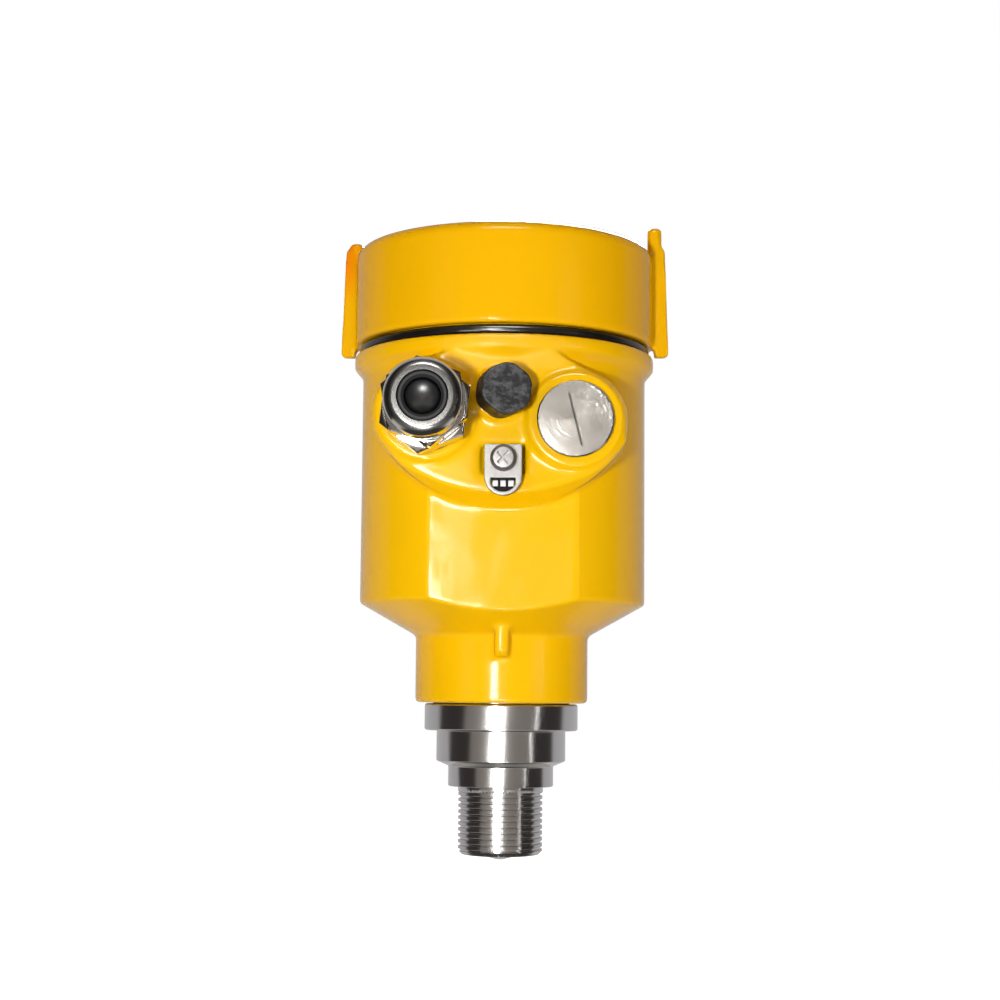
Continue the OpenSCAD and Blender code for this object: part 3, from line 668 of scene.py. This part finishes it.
nut = merged_copy("gland_nut", "gland_nut_eased")
rim_y, nut_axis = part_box("gland_nut")[0][1], middle("gland_nut")
RIM_R, SHOULDER_R, SHOULDER_D = 8.9 * MM, 11.25 * MM, 1.9 * MM
RIM_EDGE_R, SHOULDER_END, FULLNESS = 8.2 * MM, 5.9 * MM, 0.667
steps = {round((co.y - rim_y) / MM, 1) for co in (v.co for v in nut.data.vertices)
         if 0.3 * MM < co.y - rim_y < SHOULDER_END and flat_radius(co, nut_axis) > RIM_R}
for step in sorted(steps):
    pick(nut, lambda co: abs(co.y - rim_y - step * MM) < 0.1 * MM
         and flat_radius(co, nut_axis) > RIM_R)
    radius = max(flat_radius(v.co, nut_axis) for v in nut.data.vertices if v.select)
    rise = min(1, step * MM / SHOULDER_D) ** FULLNESS
    grown = (RIM_R + (SHOULDER_R - RIM_R) * rise) / radius
    bpy.ops.transform.resize(value=(grown, 1, grown),
                             center_override=(nut_axis[0], 0, nut_axis[1]))
    bpy.ops.object.mode_set(mode="OBJECT")
pick(nut, lambda co: co.y < rim_y + 0.05 * MM and flat_radius(co, nut_axis) > RIM_EDGE_R)
bpy.ops.mesh.bevel(offset=0.3 * MM, segments=2, affect="EDGES")
bpy.ops.object.mode_set(mode="OBJECT")
bevel(nut, 0.2 * MM, 35)
even_faces(nut)
dress(nut, "nickel_plate", "gland_nut", "gland_nut")

# %% [markdown]
# The blanking plug has one narrow slot for a coin. The model's slot has room for the coin, and
# years of use have rolled its lips together, so the walls are drawn in before the edges are eased.

# %% The blanking plug
SLOT_LEAN, SLOT_DEPTH, LIP = math.radians(14), 1.3 * MM, 0.3 * MM
plug = merged_copy("blanking_plug", "blanking_plug_eased")
plug_axis = middle("blanking_plug")
plug_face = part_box("blanking_plug")[0][1]
across_slot = Vector((math.cos(SLOT_LEAN), 0, math.sin(SLOT_LEAN)))
centre = Vector((plug_axis[0] + 0.1 * MM, 0, plug_axis[1] - 0.39 * MM))
for side in (1, -1):
    pick(plug, lambda co: co.y < plug_face + SLOT_DEPTH and flat_radius(co, plug_axis) < 9 * MM
         and side * across_slot.dot(co - centre) > 0)
    bpy.ops.transform.translate(value=across_slot * (-side * LIP))
    bpy.ops.object.mode_set(mode="OBJECT")
bevel(plug, 0.12 * MM, 35)
even_faces(plug)
dress(plug, "stainless_plug", "blanking_plug", "blanking_plug")

# %% [markdown]
# The vent cap is moulded nylon, so its six corners are well rounded. A bevel can't round them
# past the turned chamfer, so the cap starts again as a six-sided bar: first the six upright
# edges are rounded, then the rim of the face. A plain stem joins it to the head, and the whole
# cap is modelled upright and then leant over onto its seat.


# %% The vent cap
def pick_edges(thing, wanted):
    """Leave selected, in edit mode, the edges for which wanted(one end, other end) is true."""
    only(thing)
    bpy.ops.object.mode_set(mode="EDIT")
    bpy.ops.mesh.select_mode(type="EDGE")
    bpy.ops.mesh.select_all(action="DESELECT")
    bpy.ops.object.mode_set(mode="OBJECT")
    for edge in thing.data.edges:
        edge.select = wanted(*[thing.data.vertices[i].co for i in edge.vertices])
    bpy.ops.object.mode_set(mode="EDIT")


VENT_FLATS, VENT_H, STEM_R, STEM_H = 14.6 * MM, 9.5 * MM, 4 * MM, 9.2 * MM
bpy.ops.object.select_all(action="DESELECT")
bpy.ops.mesh.primitive_cylinder_add(vertices=6, radius=VENT_FLATS / math.sqrt(3), depth=VENT_H)
cap = bpy.context.object
cap.name = cap.data.name = "vent_cap_moulded"
pick_edges(cap, lambda a, b: abs(a.z - b.z) > VENT_H / 2)
bpy.ops.mesh.bevel(offset=2.6 * MM, segments=6, affect="EDGES")
bpy.ops.object.mode_set(mode="OBJECT")
pick_edges(cap, lambda a, b: min(a.z, b.z) > VENT_H / 2 - 0.01 * MM)
bpy.ops.mesh.bevel(offset=0.8 * MM, segments=3, affect="EDGES")
bpy.ops.object.mode_set(mode="OBJECT")
bpy.ops.object.select_all(action="DESELECT")
bpy.ops.mesh.primitive_cylinder_add(vertices=32, radius=STEM_R, depth=STEM_H,
                                    location=(0, 0, -VENT_H / 2 - 4.5 * MM))
stem = bpy.context.object
bevel(stem, 0.4 * MM, 35)
cap.select_set(True)
bpy.context.view_layer.objects.active = cap
bpy.ops.object.join()
seat = Matrix.Translation((*VENT_SEAT, middle("vent_cap")[1]))
facing = Matrix.Rotation(VENT_LEAN, 4, "Z") @ Matrix.Rotation(math.radians(90), 4, "X")
raised = Matrix.Translation((0, 0, 2.4 * MM + VENT_H / 2))
tightened = Matrix.Rotation(math.radians(-6), 4, "Z")
cap.matrix_world = seat @ facing @ raised @ tightened
only(cap)
bpy.ops.object.transform_apply(location=True, rotation=True, scale=True)
even_faces(cap)
dress(cap, "black_nylon", "head", "vent_cap")

# %% [markdown]
# The rubber plug has bloomed to a dull black that takes only the soft light from above. A rougher
# material alone would smear the highlights instead of removing them, so the two lamps that make
# streaks on metal and enamel leave the plug out.

# %% The rubber plug
plug_head = eased("dust_plug", 0.15 * MM)
dull = bpy.data.collections.new("dull_rubber")
dull.objects.link(plug_head)
dull.collection_objects[0].light_linking.link_state = "EXCLUDE"
for lamp in (streak_left, low_front):
    lamp.light_linking.receiver_collection = dull

# %% [markdown]
# The earth clamp is a bent strip with a toothed plate behind it. The clamp ends in a half circle,
# so the lower corners of the plate are drawn in to stay behind it.

# %% The earth clamp
jaw_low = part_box("ground_jaw")[0][2]
jaw_plate = merged_copy("ground_jaw", "ground_jaw_eased")
pick(jaw_plate, lambda co: co.z < jaw_low + 0.05 * MM)
bpy.ops.transform.resize(value=(0.6, 1, 1), center_override=(0, 0, 0))
bpy.ops.object.mode_set(mode="OBJECT")
bevel(jaw_plate, 0.1 * MM, 35)
dress(jaw_plate, "stainless_small", "head", "ground_jaw")
jaw_plate.data.materials[0] = jaw_steel
eased("ground_clamp", 0.25 * MM)
eased("ground_screw", 0.12 * MM)

# %% [markdown]
# The pieces under the lid and behind the plugs are simple turned and moulded shapes, so one fine
# bevel each is enough.

# %% Inner pieces
EDGES = {"electronics_cup": 0.4, "terminal_block": 0.25, "rf_module": 0.2, "cup_screws": 0.15,
         "terminal_screws": 0.1, "contact_socket": 0.08, "inner_ground_screw": 0.12,
         "gland_clamp_cage": 0.1, "lock_screw": 0.08, "retaining_ring": 0.1, "feed_nose": 0.2}
for node, width in EDGES.items():
    eased(node, width * MM)

# %% [markdown]
# ## The process thread
#
# The fitting is one turned piece with a pipe thread under its shoulder. A thread could be drawn
# as stacked rings, but a real one is a single ridge that climbs at a steady pitch, and the run of
# the light along it shows the difference. So a bar with a narrow flat tip is swept along a helix
# with the Screw modifier.


# %% A coil along the axis
def coil(name, tip, base, tip_half, base_half, pitch, start, turns):
    """A helical ridge round Z from the radius base to the radius tip.

    It reaches base_half up and down at its base and tip_half at its tip, and starts at the
    height start.
    """
    bpy.ops.object.select_all(action="DESELECT")
    bpy.ops.mesh.primitive_circle_add(vertices=4, radius=math.sqrt(0.5),
                                      rotation=(math.radians(90), math.radians(45), 0))
    bar = bpy.context.object
    bar.name = bar.data.name = name
    bpy.ops.object.transform_apply(location=False, rotation=True, scale=False)
    bpy.ops.object.mode_set(mode="EDIT")
    bpy.ops.mesh.select_all(action="SELECT")
    bpy.ops.transform.resize(value=(abs(base - tip), 1, 2 * base_half), center_override=(0, 0, 0))
    bpy.ops.transform.translate(value=((tip + base) / 2, 0, start))
    bpy.ops.object.mode_set(mode="OBJECT")
    pick(bar, lambda co: abs(co.x - tip) < abs(co.x - base))
    bpy.ops.transform.resize(value=(1, 1, tip_half / base_half), center_override=(tip, 0, start))
    bpy.ops.object.mode_set(mode="OBJECT")
    modify(bar, "SCREW", axis="Z", angle=math.tau, screw_offset=pitch, iterations=turns,
           steps=72, render_steps=72, use_smooth_shade=False)
    only(bar)
    bpy.ops.object.mode_set(mode="EDIT")
    bpy.ops.mesh.select_all(action="SELECT")
    bpy.ops.transform.rotate(value=math.radians(100), orient_axis="Z", center_override=(0, 0, 0))
    bpy.ops.mesh.fill_holes(sides=4)
    bpy.ops.mesh.normals_make_consistent(inside=False)
    bpy.ops.object.mode_set(mode="OBJECT")
    return bar


# %% [markdown]
# A groove could be cut into the plain bar, but then every face of the thread would be a sliver
# left by the cut, and slivers shade badly. So the bar is turned down to the thread's root, and
# the ridge, trimmed to the bar's own outline so that it runs out under the collar, is joined on.

# %% The threaded fitting
PITCH, TURNS = 1.814 * MM, 12
CREST_R, ROOT_R, COLLAR_H = 13.19 * MM, 12.45 * MM, 1.7 * MM
TUBE_R, TUBE_H = 14 * MM, 30 * MM
fitting = merged_copy("process_fitting", "threaded_fitting")
ridge = coil("thread_ridge", CREST_R, ROOT_R - 0.15 * MM, 0.46 * MM, 0.74 * MM,
             PITCH, -22.0 * MM, TURNS)
modify(ridge, "BOOLEAN", operation="INTERSECT", object=fitting, solver="EXACT")
bpy.ops.object.select_all(action="DESELECT")
bpy.ops.mesh.primitive_cylinder_add(vertices=144, radius=TUBE_R, depth=TUBE_H,
                                    end_fill_type="NOTHING",
                                    location=(0, 0, -COLLAR_H - TUBE_H / 2))
tube = bpy.context.object
modify(tube, "SOLIDIFY", thickness=TUBE_R - ROOT_R, offset=-1, use_even_offset=True)
bevel(fitting, 0.25 * MM, 30)
modify(fitting, "BOOLEAN", operation="DIFFERENCE", object=tube, solver="EXACT")
bpy.data.objects.remove(tube)
even_faces(fitting, 35)
smooth(ridge, 20)
ridge.select_set(True)
fitting.select_set(True)
bpy.context.view_layer.objects.active = fitting
bpy.ops.object.join()
dress(fitting, "stainless_turned", "process_connection", "process_fitting")

# %% [markdown]
# The lid screws on a coarser thread. Its ridges stand on the spigot and inside the lid, and
# show only when the lid is off.

# %% The lid's thread
LID_PITCH, GAP, LID_DEPTH = 2 * MM, 0.16 * MM, 0.64 * MM
tip_half, base_half = 0.2 * MM, 0.95 * MM
ridge = coil("spigot_thread", SPIGOT_R, SPIGOT_R - THREAD_DEPTH - 0.3 * MM, tip_half, base_half,
             LID_PITCH, 139 * MM, 4)
smooth(ridge, 30)
dress(ridge, "yellow_enamel", "head")
ridge = coil("lid_thread", SPIGOT_R + GAP, SPIGOT_R + GAP + LID_DEPTH, tip_half, base_half,
             LID_PITCH, 140 * MM, 5)
smooth(ridge, 30)
dress(ridge, "yellow_enamel", "lid")
